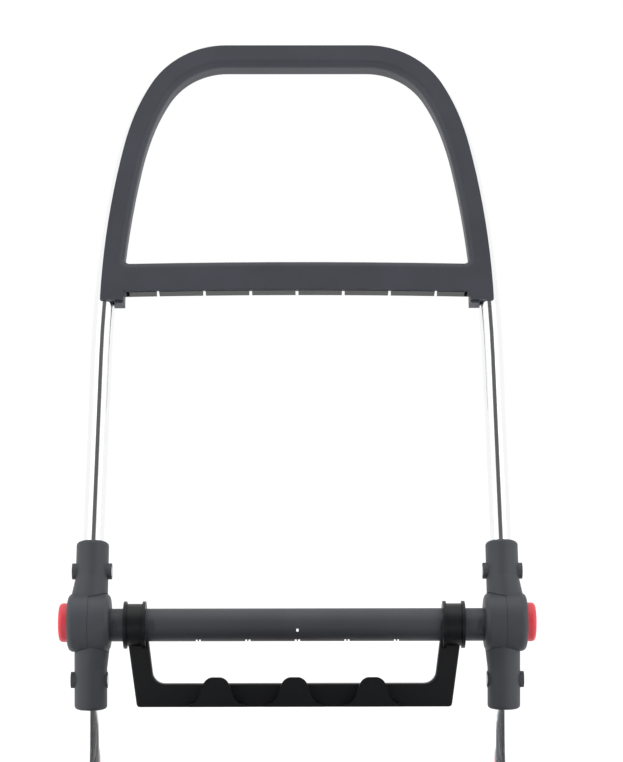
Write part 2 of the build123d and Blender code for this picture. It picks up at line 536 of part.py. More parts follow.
def make_hanger():
    """Two spring clips, a U-shaped frame and three hooks, moulded in one piece."""
    front = -HANGER_DEPTH / 2
    bore = BAR_R + GAP
    with BuildPart() as hanger:
        with BuildSketch(Plane.XZ.offset(-front)) as face:
            hanger_outline()
            fillet(corners_at(face, HANGER_TOP), HANGER_INNER)
            fillet(corners_at(face, HANGER_BOTTOM), HANGER_OUTER)
        extrude(amount=-HANGER_DEPTH)
        rim = hanger.faces().sort_by(Axis.Y)[0].edges()
        fillet(rim.filter_by(lambda e: (e @ 0.5).Z < ARM_TOP - 1), HANGER_EDGE)
        with BuildSketch(Plane.XZ.offset(-front - HANGER_SKIN)) as hollow:
            hanger_outline(HANGER_SKIN)
            with Locations((0, HANGER_TOP)):
                Rectangle(HANGER_SKIN, 100, mode=Mode.SUBTRACT)
            with Locations((HOOK_PITCH, HANGER_TOP), (-HOOK_PITCH, HANGER_TOP)):
                Rectangle(HANGER_SKIN, 100, mode=Mode.SUBTRACT)
        extrude(amount=-HANGER_DEPTH, mode=Mode.SUBTRACT)
        for side in (-1, 1):
            middle = side * CLIP_X
            rod(CLIP_R, middle - CLIP_WIDTH / 2, middle + CLIP_WIDTH / 2)
            for end in (-1, 1):
                edge = middle + end * (CLIP_WIDTH - FLANGE_WIDTH) / 2
                rod(FLANGE_R, edge - FLANGE_WIDTH / 2, edge + FLANGE_WIDTH / 2)
        rod(bore, -CLIP_X - CLIP_WIDTH, CLIP_X + CLIP_WIDTH, mode=Mode.SUBTRACT)
        reach = CLIP_X + CLIP_WIDTH
        block(-reach, reach, 0, FLANGE_R + 5, -CLIP_MOUTH / 2, CLIP_MOUTH / 2, Mode.SUBTRACT)
        for i in (-1, 0, 1):
            x = i * HOOK_PITCH
            with BuildSketch(Plane.XZ.offset(HOOK_REACH + HANGER_DEPTH / 2)) as tongue:
                hook_outline()
            extrude(tongue.sketch.moved(Location((x, 0, 0))), amount=-HOOK_THICK)
            shelf = HOOK_LOW + HOOK_FLOOR
            block(x - HOOK_BASE, x + HOOK_BASE, front - HOOK_REACH, front + 1, HOOK_LOW, shelf)
    save(hanger.part, "bag_hanger", HANGER)


# ================================================================= chassis
DECK_MIDDLE = (DECK_FRONT + DECK_BACK) / 2
CORNER_TOP = DECK_LOW - 2.8
CORNER_SCREWS = ((236.0, -430.0), (168.0, -386.0))
BRACKET_SCREWS = (74.0, 104.0)
DECK_SCREW_R, DECK_HEAD_R, DECK_HEAD = 2.5, 5.5, 2.8


def sweep_side_tube(radius, bore=0.0, mode=Mode.ADD):
    """Sweeps a round section down from the lower socket, round the bend and forwards under the deck."""
    with BuildLine(Plane.YZ.offset(HALF_TRACK)) as path:
        FilletPolyline(
            (MAST_Y, KNUCKLE_Z - TUBE_START), (MAST_Y, TUBE_Z), (TUBE_FRONT, TUBE_Z), radius=BEND_R
        )
    with BuildSketch(Plane(path.line @ 0, z_dir=path.line % 0)) as section:
        Circle(radius)
        if bore:
            Circle(bore, mode=Mode.SUBTRACT)
    sweep(section.sketch, path=path.line, mode=mode)


def make_side_tubes():
    with BuildPart() as tube:
        sweep_side_tube(TUBE_R, TUBE_R - TUBE_WALL)
        clamp_z = KNUCKLE_Z - LOWER_CLAMP
        rod(CLAMP_R + FIT, HALF_TRACK - 30, HALF_TRACK + 30, MAST_Y, clamp_z, Mode.SUBTRACT)
        for y in DECK_SCREWS:
            post(DECK_SCREW_R + FIT, TUBE_Z, DECK_LOW, HALF_TRACK, y, Mode.SUBTRACT)
        for y in BRACKET_SCREWS:
            post(DECK_SCREW_R + FIT, TUBE_Z - TUBE_R - 1, TUBE_Z, HALF_TRACK, y, Mode.SUBTRACT)
    save_pair(tube.part, "side_tube")


def make_cross_tubes():
    with BuildPart() as tubes:
        for y in CROSS_TUBES:
            rod(CROSS_TUBE_R, -HALF_TRACK, HALF_TRACK, y, TUBE_Z)
            rod(CROSS_TUBE_R - TUBE_WALL, -HALF_TRACK, HALF_TRACK, y, TUBE_Z, Mode.SUBTRACT)
        for side in (-1, 1):
            with BuildSketch(Plane.XZ.offset(-MAST_Y)):
                with Locations((side * HALF_TRACK, TUBE_Z)):
                    Circle(TUBE_R + FIT / 2)
            extrude(amount=MAST_Y - DECK_FRONT, mode=Mode.SUBTRACT)
        for x, y in heel_screws():
            post(DECK_SCREW_R + FIT, TUBE_Z, DECK_LOW, x, y, Mode.SUBTRACT)
    save(tubes.part, "cross_tubes")


def deck_plan(grow=0.0, mode=Mode.ADD):
    """The deck's outline from above, grown or shrunk all round."""
    with BuildSketch(mode=Mode.PRIVATE) as plan:
        with BuildLine():
            Polyline((0, DECK_FRONT), (DECK_HALF, DECK_FRONT), (DECK_HALF, DECK_BACK), (0, DECK_BACK))
            mirror(about=Plane.YZ)
        make_face()
        fillet(plan.vertices().group_by(Axis.Y)[0], DECK_CORNER)
        fillet(plan.vertices().group_by(Axis.Y)[-1], HEEL_CORNER)
        if grow:
            offset(amount=grow)
    add(plan.sketch, mode=mode)


def lash_holes():
    """Places of the four holes for tie-down bolts."""
    return GridLocations(LASH_X, LASH_Y, 2, 2)


def fixings():
    """Places of the screws that hold the deck: onto the side tubes and onto the front corners."""
    places = [(side * HALF_TRACK, y) for side in (-1, 1) for y in DECK_SCREWS]
    places += [(side * x, y) for side in (-1, 1) for x, y in CORNER_SCREWS]
    return places


def make_deck():
    roof = DECK_TOP - DECK_SKIN
    with BuildPart() as deck:
        with BuildSketch(Plane.XY.offset(DECK_LOW)):
            deck_plan()
        extrude(amount=DECK_TOP + DECK_RIM - DECK_LOW)
        fillet(deck.faces().sort_by(Axis.Z)[-1].edges(), 3.0)
        with BuildSketch(Plane.XY.offset(DECK_TOP)):
            deck_plan(-RIM_WIDTH)
        extrude(amount=2 * DECK_RIM, mode=Mode.SUBTRACT)
        with BuildSketch(Plane.XY.offset(DECK_LOW)):
            deck_plan(-DECK_RIB)
        extrude(amount=roof - DECK_LOW, mode=Mode.SUBTRACT)
        with BuildSketch(Plane.XY.offset(DECK_LOW)):
            with Locations((0, DECK_MIDDLE)):
                with GridLocations(RIB_PITCH_X, 1, 9, 1):
                    Rectangle(DECK_RIB, DECK_BACK - DECK_FRONT)
                with GridLocations(1, RIB_PITCH_Y, 1, 9):
                    Rectangle(2 * DECK_HALF, DECK_RIB)
            deck_plan(-1, Mode.INTERSECT)
        extrude(amount=roof - DECK_LOW + 0.5)
        for x, y in fixings():
            post(7.5, DECK_LOW, roof + 0.5, x, y)
        with BuildSketch(Plane.XY.offset(DECK_LOW)):
            with Locations((0, DECK_MIDDLE)):
                with lash_holes():
                    Circle(LASH_R + 4)
        extrude(amount=roof + 0.5 - DECK_LOW)
        with BuildSketch(Plane.XY.offset(DECK_LOW)):
            with Locations((0, DECK_MIDDLE)):
                with lash_holes():
                    Circle(LASH_R)
        extrude(amount=2 * DECK_TOP, mode=Mode.SUBTRACT)
        for x, y in fixings():
            post(DECK_SCREW_R + FIT, DECK_LOW, DECK_TOP + 9, x, y, Mode.SUBTRACT)
            post(DECK_HEAD_R + FIT, DECK_TOP - DECK_HEAD, DECK_TOP + 9, x, y, Mode.SUBTRACT)
        with BuildSketch(Plane.XY.offset(DECK_TOP - STRIP_SINK)):
            tread_strips(FIT)
        extrude(amount=2 * DECK_RIM, mode=Mode.SUBTRACT)
    save(deck.part, "deck")


def heel_screws():
    """Places of the two screws that hold the heel panel onto the rearmost cross tube."""
    return [(side * HEEL_SCREWS, CROSS_TUBES[-1]) for side in (-1, 1)]


def make_heel():
    """A separate ribbed panel that carries the deck on between the rear wheels."""
    start = DECK_BACK + GAP
    roof = DECK_TOP - DECK_SKIN
    with BuildPart() as heel:
        with BuildSketch(Plane.XY.offset(DECK_LOW)) as plan:
            with Locations((0, (start + HEEL_BACK) / 2)):
                Rectangle(2 * HEEL_HALF, HEEL_BACK - start)
            fillet(plan.vertices().group_by(Axis.Y)[-1], HEEL_CORNER)
        extrude(amount=DECK_TOP - DECK_LOW)
        fillet(heel.faces().sort_by(Axis.Z)[-1].edges(), 2.0)
        with BuildSketch(Plane.XY.offset(DECK_LOW)):
            with Locations((0, (start + HEEL_BACK) / 2)):
                with GridLocations(RIB_PITCH_X, HEEL_BACK / 2 - start / 2, 8, 2):
                    Rectangle(RIB_PITCH_X - DECK_RIB, HEEL_BACK / 2 - start / 2 - DECK_RIB)
        extrude(amount=roof - DECK_LOW, mode=Mode.SUBTRACT)
        for x, y in heel_screws():
            post(7.5, DECK_LOW, roof + 0.5, x, y)
            post(DECK_SCREW_R + FIT, DECK_LOW, DECK_TOP + 9, x, y, Mode.SUBTRACT)
            post(DECK_HEAD_R + FIT, DECK_TOP - DECK_HEAD, DECK_TOP + 9, x, y, Mode.SUBTRACT)
    save(heel.part, "deck_heel")


def tread_strips(grow=0.0):
    """Long rounded strips side by side on the deck."""
    with BuildSketch(mode=Mode.PRIVATE) as strips:
        with Locations((0, DECK_MIDDLE)):
            with GridLocations(STRIP_PITCH, 1, STRIP_COUNT, 1):
                SlotOverall(STRIP_LONG + 2 * grow, STRIP_WIDE + 2 * grow, rotation=90)
    add(strips.sketch)


def make_tread_strips():
    with BuildPart() as strips:
        with BuildSketch(Plane.XY.offset(DECK_TOP - STRIP_SINK)):
            tread_strips()
        extrude(amount=STRIP_SINK + 1.4)
        with BuildSketch(Plane.XY.offset(DECK_TOP + 0.6)):
            with Locations((0, DECK_MIDDLE)):
                with GridLocations(STRIP_PITCH, 1, STRIP_COUNT, 1):
                    with GridLocations(7.0, 1, 4, 1):
                        SlotOverall(STRIP_LONG - 40, 2.4, rotation=90)
        extrude(amount=2, mode=Mode.SUBTRACT)
    save(strips.part, "deck_tread_strips")


def make_bumpers():
    with BuildPart() as bumpers:
        with BuildSketch(Plane.XY.offset(DECK_LOW + 3)):
            deck_plan(3.0)
            deck_plan(FIT, Mode.SUBTRACT)
            with Locations((DECK_HALF - 20, DECK_FRONT + 20), (20 - DECK_HALF, DECK_FRONT + 20)):
                Rectangle(90, 90, mode=Mode.INTERSECT)
        extrude(amount=14)
    save(bumpers.part, "corner_bumpers")


def make_deck_screws():
    with BuildPart() as screws:
        for x, y in fixings() + heel_screws():
            foot = CORNER_LOW + 8 if (abs(x), y) in CORNER_SCREWS else TUBE_Z + 6
            post(DECK_SCREW_R, foot, DECK_TOP - DECK_HEAD, x, y)
            post(DECK_HEAD_R, DECK_TOP - DECK_HEAD, DECK_TOP - 0.4, x, y)
    save(screws.part, "deck_screws")


def make_front_corners():
    """Castings under the deck's front corners: each holds a tube end and a caster's kingpin."""
    with BuildPart() as corner:
        block(156.0, DECK_HALF, DECK_FRONT + 4, TUBE_FRONT + 30, CORNER_LOW, CORNER_TOP)
        fillet(corner.edges().filter_by(Axis.Z), 12)
        fillet(corner.faces().sort_by(Axis.Z)[0].edges(), 2)
        for x, y in CORNER_SCREWS:
            post(DECK_SCREW_R + FIT, CORNER_LOW + 6, CORNER_TOP, x, y, Mode.SUBTRACT)
        post(KINGPIN_R + FIT / 2, CORNER_LOW, CORNER_TOP, CASTER_X, CASTER_Y, Mode.SUBTRACT)
        with BuildSketch(Plane.XZ.offset(-TUBE_FRONT - 30)):
            with Locations((HALF_TRACK, TUBE_Z)):
                Circle(TUBE_R + FIT)
        extrude(amount=30 + FIT, mode=Mode.SUBTRACT)
    save_pair(corner.part, "front_corner")


def make_rear_brackets():
    """Saddles under the side tubes that reach back to the axle and up to the brake bar."""
    middle = HALF_TRACK + 1.5
    with BuildPart() as bracket:
        block(HALF_TRACK - 13.5, HALF_TRACK + 13.5, 58.0, 136.0, CORNER_LOW, TUBE_Z - 1)
        fillet(bracket.edges().filter_by(Axis.Z), 4)
        with BuildSketch(Plane.YZ.offset(middle - 8)):
            with Locations((AXLE_Y, REAR_R)):
                Circle(15)
            with Locations((122.0, 130.0)):
                Circle(10)
            make_hull()
        extrude(amount=16)
        with BuildSketch(Plane.YZ.offset(middle - 8)):
            with Locations((AXLE_Y, REAR_R)):
                Circle(13)
            with Locations((BRAKE_Y, BRAKE_Z)):
                Circle(9.5)
            make_hull()
        extrude(amount=16)
        sweep_side_tube(TUBE_R + FIT, mode=Mode.SUBTRACT)
        rod(AXLE_R + FIT / 2, 200, 260, AXLE_Y, REAR_R, Mode.SUBTRACT)
        rod(BRAKE_R + RUN, 200, 260, BRAKE_Y, BRAKE_Z, Mode.SUBTRACT)
        for y in BRACKET_SCREWS:
            post(DECK_SCREW_R + FIT, 0, TUBE_Z, HALF_TRACK, y, Mode.SUBTRACT)
    save_pair(bracket.part, "rear_bracket")
    with BuildPart() as screws:
        for y in BRACKET_SCREWS:
            post(DECK_SCREW_R, CORNER_LOW - 0.1, TUBE_Z - 8, HALF_TRACK, y)
            post(DECK_HEAD_R, CORNER_LOW - 0.1 - DECK_HEAD, CORNER_LOW - 0.1, HALF_TRACK, y)
        mirror(about=Plane.YZ)
    save(screws.part, "bracket_screws")


# ================================================================= wheels
def ring(profile):
    """Revolves a closed list of (x, radius) points about the X axis."""
    with BuildSketch() as half:
        with BuildLine():
            Polyline(*profile, close=True)
        make_face()
    revolve(half.sketch, axis=Axis.X)


def wheel_rim(half_width, hub_r, hub_half, rim_in, rim_out, bore, holes, hole_r):
    """A moulded wheel centre: hub, dished web with lightening holes, and rim."""
    web = half_width - WEB_SUNK
    with BuildPart() as rim:
        ring((
            (-hub_half, bore), (hub_half, bore), (hub_half, hub_r), (web, hub_r + 2), (web, rim_in - 3),
            (half_width, rim_in), (half_width, rim_out), (-half_width, rim_out), (-half_width, rim_in),
            (-web, rim_in - 3), (-web, hub_r + 2), (-hub_half, hub_r),
        ))
        with BuildSketch(Plane.YZ.offset(-half_width)):
            with PolarLocations((hub_r + rim_in) / 2, holes):
                Circle(hole_r)
        extrude(amount=2 * half_width, mode=Mode.SUBTRACT)
        fillet(rim.edges().filter_by(GeomType.CIRCLE).filter_by(lambda e: e.radius == rim_out), 1.0)
    return rim.part


def wheel_tyre(half_width, inner_r, outer_r, shoulder, grooves):
    """A solid tyre with rounded shoulders and grooves round its tread."""
    with BuildPart() as tyre:
        ring((
            (-half_width, inner_r), (half_width, inner_r), (half_width, outer_r), (-half_width, outer_r),
        ))
        fillet(tyre.edges().filter_by(GeomType.CIRCLE).filter_by(lambda e: e.radius == outer_r), shoulder)
        for x in grooves:
            with BuildSketch(Plane.YZ.offset(x - 1)):
                Circle(outer_r + 1)
                Circle(outer_r - 1.8, mode=Mode.SUBTRACT)
            extrude(amount=2, mode=Mode.SUBTRACT)
    return tyre.part


def make_rear_wheels():
    place = Location((REAR_X, AXLE_Y, REAR_R))
    half = REAR_WIDTH / 2
    save_pair(wheel_rim(half - 1, 18, 17, 58, REAR_RIM_R, AXLE_R + RUN, 8, 6.4).moved(place), "rear_rim")
    save_pair(wheel_tyre(half, REAR_RIM_R + FIT / 2, REAR_R, 6, (-5, 5)).moved(place), "rear_tyre")
    hub_end = REAR_X + 17
    with BuildPart() as cap:
        rod(15, hub_end + FIT, hub_end + 7)
        fillet(cap.edges().group_by(Axis.X)[-1], 3)
        rod(12, hub_end + FIT, hub_end + 5, mode=Mode.SUBTRACT)
    save_pair(cap.part.moved(Location((0, AXLE_Y, REAR_R))), "hub_cap")
    with BuildPart() as axle:
        rod(AXLE_R, -AXLE_END, AXLE_END)
    save(axle.part, "rear_axle", Location((0, AXLE_Y, REAR_R)))
    with BuildPart() as nuts:
        rod(9, hub_end + 0.6, hub_end + 2.6)
        rod(9, HALF_TRACK + 9.8, REAR_X - 17.4)
        rod(AXLE_R + FIT / 2, HALF_TRACK, REAR_X + half * 2, mode=Mode.SUBTRACT)
        mirror(about=Plane.YZ)
    save(nuts.part, "axle_collars", Location((0, AXLE_Y, REAR_R)))


def make_casters():
    """Front swivel casters: kingpin, bearing, fork, axle, wheel centre and tyre."""
    place = Location((CASTER_X, CASTER_Y, 0))
    with BuildPart() as kingpin:
        post(KINGPIN_R, CROWN_LOW - 4.3, CORNER_TOP - 1)
        post(10, CROWN_LOW - 4.3, CROWN_LOW - GAP)
    save_pair(kingpin.part.moved(place), "kingpin")
    with BuildPart() as bearing:
        post(19, CROWN_TOP + GAP, CORNER_LOW - FIT)
        fillet(bearing.edges().group_by(Axis.Z)[0], 0.8)
        post(KINGPIN_R + FIT, CROWN_TOP, CORNER_LOW, mode=Mode.SUBTRACT)
    save_pair(bearing.part.moved(place), "swivel_bearing")
    with BuildPart() as fork:
        for x in (-FORK_IN - FORK_THICK, FORK_IN):
            with BuildSketch(Plane.YZ.offset(x)):
                with Locations((TRAIL, CASTER_R)):
                    Circle(11)
                with Locations((4.0, (CROWN_TOP + CROWN_LOW) / 2 - 4)):
                    Rectangle(46, CROWN_TOP - CROWN_LOW + 8)
                make_hull()
            extrude(amount=FORK_THICK)
        reach = FORK_IN + FORK_THICK
        block(-reach, reach, -19, 27, CROWN_LOW, CROWN_TOP)
        post(KINGPIN_R + RUN, CROWN_LOW, CROWN_TOP, mode=Mode.SUBTRACT)
        rod(CASTER_AXLE_R + FIT / 2, -reach, reach, TRAIL, CASTER_R, Mode.SUBTRACT)
    save_pair(fork.part.moved(place), "caster_fork")
    with BuildPart() as axle:
        rod(CASTER_AXLE_R, -reach - 4, reach + 4, TRAIL, CASTER_R)
        hexagon_rod(7, reach + FIT, reach + 4, TRAIL, CASTER_R)
        hexagon_rod(7, -reach - 4, -reach - FIT, TRAIL, CASTER_R)
    save_pair(axle.part.moved(place), "caster_axle")
    hub = Location((CASTER_X, CASTER_Y + TRAIL, CASTER_R))
    half = CASTER_WIDTH / 2
    rim = wheel_rim(half - 1, 11, half + 2, 33, CASTER_RIM_R, CASTER_AXLE_R + RUN, 6, 5)
    save_pair(rim.moved(hub), "caster_rim")
    save_pair(wheel_tyre(half, CASTER_RIM_R + FIT / 2, CASTER_R, 6, ()).moved(hub), "caster_tyre")


# ================================================================= parking brake
def make_brake():
    """A bar behind the wheels with a shoe at each end and a pedal in the middle."""
    place = Location((0, BRAKE_Y, BRAKE_Z))
    reach = REAR_X + REAR_WIDTH / 2
    clearance = ((BRAKE_Y - AXLE_Y) ** 2 + (BRAKE_Z - REAR_R) ** 2) ** 0.5 - REAR_R - GAP
    with BuildPart() as bar:
        rod(BRAKE_R, -reach, reach)
        block(-15, 15, 0, 62, -2.5, 2.5)
    save(bar.part, "brake_bar", place)
    with BuildPart() as shoes:
        with BuildSketch(Plane.YZ.offset(reach - REAR_WIDTH + 2)):
            Circle(9)
            with Locations((0, 3 - clearance)):
                Circle(3)
            make_hull()
        extrude(amount=REAR_WIDTH - 4)
        rod(BRAKE_R + FIT / 2, 0, 2 * reach, mode=Mode.SUBTRACT)
        mirror(about=Plane.YZ)
    save(shoes.part, "brake_shoes", place)
    with BuildPart() as pedal:
        block(-48, 48, 26, 72, -6.5, 6.5)
        fillet(pedal.edges().filter_by(Axis.Z), 10)
        fillet(pedal.faces().sort_by(Axis.Z)[-1].edges(), 3)
        fillet(pedal.faces().sort_by(Axis.Z)[0].edges(), 3)
        block(-15 - FIT, 15 + FIT, 0, 62 + FIT, -2.5 - FIT, 2.5 + FIT, Mode.SUBTRACT)
    save(pedal.part, "brake_pedal", place)


if __name__ == "__main__":
    make_handle_tube()
    make_grip_front()
    make_grip_rear()
    make_bar_strip()
    make_grip_screws()
    make_knuckles()
    make_lock()
    clamp_screws(UPPER_CLAMP, UPPER_BOSS, "upper_clamp_screws", LEANING)
    clamp_screws(-LOWER_CLAMP, (-LOWER_BOSS[1], -LOWER_BOSS[0]), "lower_clamp_screws", UPRIGHT)
    make_crossbar()
    make_hanger()
    make_side_tubes()
    make_cross_tubes()
    make_deck()
    make_heel()
    make_tread_strips()
    make_bumpers()
    make_deck_screws()
    make_front_corners()
    make_rear_brackets()
    make_rear_wheels()
    make_casters()
    make_brake()
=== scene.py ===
# Looks for the folding platform cart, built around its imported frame.
import json
import math

import bmesh
import bpy
from bpy.props import FloatProperty, IntProperty, PointerProperty
from mathutils import Matrix, Vector


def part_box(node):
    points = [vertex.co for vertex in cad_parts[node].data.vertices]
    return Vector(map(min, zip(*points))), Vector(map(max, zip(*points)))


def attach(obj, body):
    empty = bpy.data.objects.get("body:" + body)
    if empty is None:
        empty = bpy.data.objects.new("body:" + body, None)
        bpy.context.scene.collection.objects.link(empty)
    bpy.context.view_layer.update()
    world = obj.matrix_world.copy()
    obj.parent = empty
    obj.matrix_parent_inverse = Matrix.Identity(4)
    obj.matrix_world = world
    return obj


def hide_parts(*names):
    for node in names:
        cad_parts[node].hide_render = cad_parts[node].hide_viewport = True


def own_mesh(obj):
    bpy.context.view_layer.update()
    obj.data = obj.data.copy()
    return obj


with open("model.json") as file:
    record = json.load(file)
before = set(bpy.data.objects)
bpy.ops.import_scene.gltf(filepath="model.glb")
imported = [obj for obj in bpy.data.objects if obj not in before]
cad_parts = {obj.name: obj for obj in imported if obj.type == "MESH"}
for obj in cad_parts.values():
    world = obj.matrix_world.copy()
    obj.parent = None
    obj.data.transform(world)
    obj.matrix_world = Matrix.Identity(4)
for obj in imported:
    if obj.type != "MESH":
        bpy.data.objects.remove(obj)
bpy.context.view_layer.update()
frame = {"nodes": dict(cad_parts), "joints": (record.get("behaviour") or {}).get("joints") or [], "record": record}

bl_info = {
    "name": "Folding Platform Cart",
    "version": (1, 0, 0),
    "blender": (4, 5, 0),
    "location": "3D View > Sidebar > Cart",
    "description": "Finishes, detail pieces and studio for a folding platform cart",
    "category": "Object",
}

MM = 0.001
JOINTS = {joint["name"]: joint for joint in frame["joints"]}
KNUCKLE = Vector(JOINTS["handle_fold"]["pos_m"])
SLOTS = {part["node"]: part["material_slot"] for part in frame["record"]["subparts"]}

# Sizes taken over from the solids, in metres.
LEAN = math.radians(18.0)          # the push handle, back from upright
TRACK = 234.5 * MM                 # side tubes' axes, from the middle
TUBE_HEIGHT = 140.0 * MM           # side and cross tubes' axes, above the floor
TUBE_RADIUS = 12.5 * MM
DECK_TOP = 0.172
UPPER_CLAMP_RISE = 59.5 * MM       # clamp screws, along the handle from the knuckle axis
LOWER_CLAMP_RISE = -65.0 * MM      # clamp screws, upright from the knuckle axis
WELDED_TUBES = (-265.0, -70.0, 45.0, 150.0)
DECK_SCREWS = (
    (234.5, -340.0), (234.5, -130.0), (234.5, 90.0), (236.0, -430.0), (168.0, -386.0), (150.0, 150.0),
)
LASH_HOLES = ((190.0, -326.0), (190.0, -6.0))

# Sizes of the pieces made here, in metres.
BEAD_RING = 10.9 * MM              # middle of a weld bead, from the cross tube's axis
BEAD_SIDES, BEAD_STEPS = 8, 72
BEAD_FLATTENING = 0.9
RIPPLE_HEIGHT, RIPPLES = 0.00018, 26
# Black crosses and hexagons raised on the screw heads: painted shade standing in for the shade inside the recessed
# drives.
CROSS_WIDTH, CROSS_RISE, CROSS_EDGE, CROSS_LIFT = 0.0011, 0.0003, 0.0001, 0.00005
CROSS_TURN = 0.6
HEX_RISE = 0.0002
EYELET_BORE, EYELET_STEPS = 0.0046, 40
RIB_WIDTH, RIB_HEIGHT, RIB_EDGE, RIB_LIFT = 0.0028, 0.0018, 0.0006, 0.0004
RIB_END, RIB_SIDE = 0.009, 0.012   # bare margins of the tread, at its ends and sides
FLOOR_HALF_WIDTH = 60.0
CARD_DISTANCE, CARD_HALF_HEIGHT, CARD_NARROWING = 5.0, 3.4, 0.66
LIGHT_AIM_RISE = 0.2               # above the knuckle axis


# ---------------------------------------------------------------- node helpers
def new_material(name):
    """A material with an empty node tree, its shader and its output."""
    material = bpy.data.materials.new(name)
    material.use_nodes = True
    tree = material.node_tree
    tree.nodes.clear()
    output = tree.nodes.new("ShaderNodeOutputMaterial")
    shader = tree.nodes.new("ShaderNodeBsdfPrincipled")
    tree.links.new(shader.outputs["BSDF"], output.inputs["Surface"])
    return material, tree, shader


def object_coordinates(tree, scale=(1, 1, 1)):
    """Object coordinates, stretched by a Mapping node."""
    place = tree.nodes.new("ShaderNodeTexCoord")
    mapping = tree.nodes.new("ShaderNodeMapping")
    mapping.inputs["Scale"].default_value = scale
    tree.links.new(place.outputs["Object"], mapping.inputs["Vector"])
    return mapping.outputs["Vector"]


def noise(tree, vector, scale, detail, roughness=0.55):
    """A noise pattern's value."""
    node = tree.nodes.new("ShaderNodeTexNoise")
    node.inputs["Scale"].default_value = scale
    node.inputs["Detail"].default_value = detail
    node.inputs["Roughness"].default_value = roughness
    tree.links.new(vector, node.inputs["Vector"])
    return node.outputs["Fac"]


def spread(tree, value, low, high, from_low=0.3, from_high=0.7):
    """Maps a pattern's value onto a range."""
    node = tree.nodes.new("ShaderNodeMapRange")
    node.inputs["From Min"].default_value = from_low
    node.inputs["From Max"].default_value = from_high
    node.inputs["To Min"].default_value = low
    node.inputs["To Max"].default_value = high
    tree.links.new(value, node.inputs["Value"])
    return node.outputs["Result"]


def tint(tree, value, dark, light):
    """A colour between two, by a pattern's value."""
    ramp = tree.nodes.new("ShaderNodeValToRGB")
    ramp.color_ramp.elements[0].position = 0.3
    ramp.color_ramp.elements[0].color = (*dark, 1)
    ramp.color_ramp.elements[1].position = 0.7
    ramp.color_ramp.elements[1].color = (*light, 1)
    tree.links.new(value, ramp.inputs["Fac"])
    return ramp.outputs["Color"]


def bump(tree, shader, height, distance, strength=1.0):
    """Relief on the shader's normal."""
    node = tree.nodes.new("ShaderNodeBump")
    node.inputs["Strength"].default_value = strength
    node.inputs["Distance"].default_value = distance
    tree.links.new(height, node.inputs["Height"])
    tree.links.new(node.outputs["Normal"], shader.inputs["Normal"])


def colour_by(tree, shader, pattern, dark, light):
    """Lets a pattern vary the shader's colour."""
    tree.links.new(tint(tree, pattern, dark, light), shader.inputs["Base Color"])


def roughness_by(tree, shader, pattern, low, high):
    """Lets a pattern vary the shader's roughness."""
    tree.links.new(spread(tree, pattern, low, high), shader.inputs["Roughness"])


def shade(colour, factor):
    """A colour made lighter or darker."""
    return tuple(min(1.0, channel * factor) for channel in colour)


# ---------------------------------------------------------------- finishes
def moulded_plastic(name, colour, roughness, grain=2600.0, relief=0.00002, gloss=0.45):
    """Moulded plastic: fine spark-eroded grain, faint clouding and uneven sheen."""
    material, tree, shader = new_material(name)
    where = object_coordinates(tree)
    cloud = noise(tree, where, 14.0, 3.0)
    fine = noise(tree, where, grain, 2.0, 0.5)
    colour_by(tree, shader, cloud, shade(colour, 0.9), shade(colour, 1.1))
    roughness_by(tree, shader, fine, roughness - 0.05, roughness + 0.07)
    shader.inputs["Specular IOR Level"].default_value = gloss
    bump(tree, shader, fine, relief)
    return material


def polished_aluminium(name, colour, roughness):
    """Bright drawn tube: hair-fine lines along its length under a polish."""
    material, tree, shader = new_material(name)
    lines = noise(tree, object_coordinates(tree, (1, 1, 0.02)), 1800.0, 3.0)
    haze = noise(tree, object_coordinates(tree), 22.0, 3.0)
    shader.inputs["Metallic"].default_value = 1.0
    colour_by(tree, shader, haze, shade(colour, 0.985), colour)
    roughness_by(tree, shader, lines, roughness * 0.8, roughness * 1.3)
    bump(tree, shader, lines, 0.000004, 0.5)
    return material


def plated_steel(name, colour, roughness):
    """Zinc plate: cool metal with soft mottling."""
    material, tree, shader = new_material(name)
    where = object_coordinates(tree)
    spangle = noise(tree, where, 420.0, 4.0)
    shader.inputs["Metallic"].default_value = 1.0
    colour_by(tree, shader, spangle, shade(colour, 0.82), shade(colour, 1.12))
    roughness_by(tree, shader, spangle, roughness - 0.08, roughness + 0.1)
    bump(tree, shader, spangle, 0.000012, 0.6)
    return material


def rubber(name, colour, roughness):
    """Rubber: dull, with a dusty bloom and fine pits."""
    material, tree, shader = new_material(name)
    where = object_coordinates(tree)
    bloom = noise(tree, where, 30.0, 5.0)
    pits = noise(tree, where, 1900.0, 2.0)
    colour_by(tree, shader, bloom, colour, shade(colour, 1.5))
    roughness_by(tree, shader, bloom, roughness - 0.08, roughness + 0.06)
    shader.inputs["Specular IOR Level"].default_value = 0.3
    bump(tree, shader, pits, 0.00003)
    return material


def pebbled_plastic(name, colour, roughness):
    """Moulded deck plastic: small raised pebbles, scuffed paler in patches."""
    material, tree, shader = new_material(name)
    where = object_coordinates(tree)
    scuff = noise(tree, where, 9.0, 6.0, 0.65)
    pebbles = tree.nodes.new("ShaderNodeTexVoronoi")
    pebbles.feature = "SMOOTH_F1"
    pebbles.inputs["Scale"].default_value = 520.0
    tree.links.new(where, pebbles.inputs["Vector"])
    colour_by(tree, shader, scuff, shade(colour, 0.85), shade(colour, 1.25))
    roughness_by(tree, shader, scuff, roughness - 0.06, roughness + 0.1)
    shader.inputs["Specular IOR Level"].default_value = 0.4
    bump(tree, shader, pebbles.outputs["Distance"], 0.0003, 0.7)
    return material


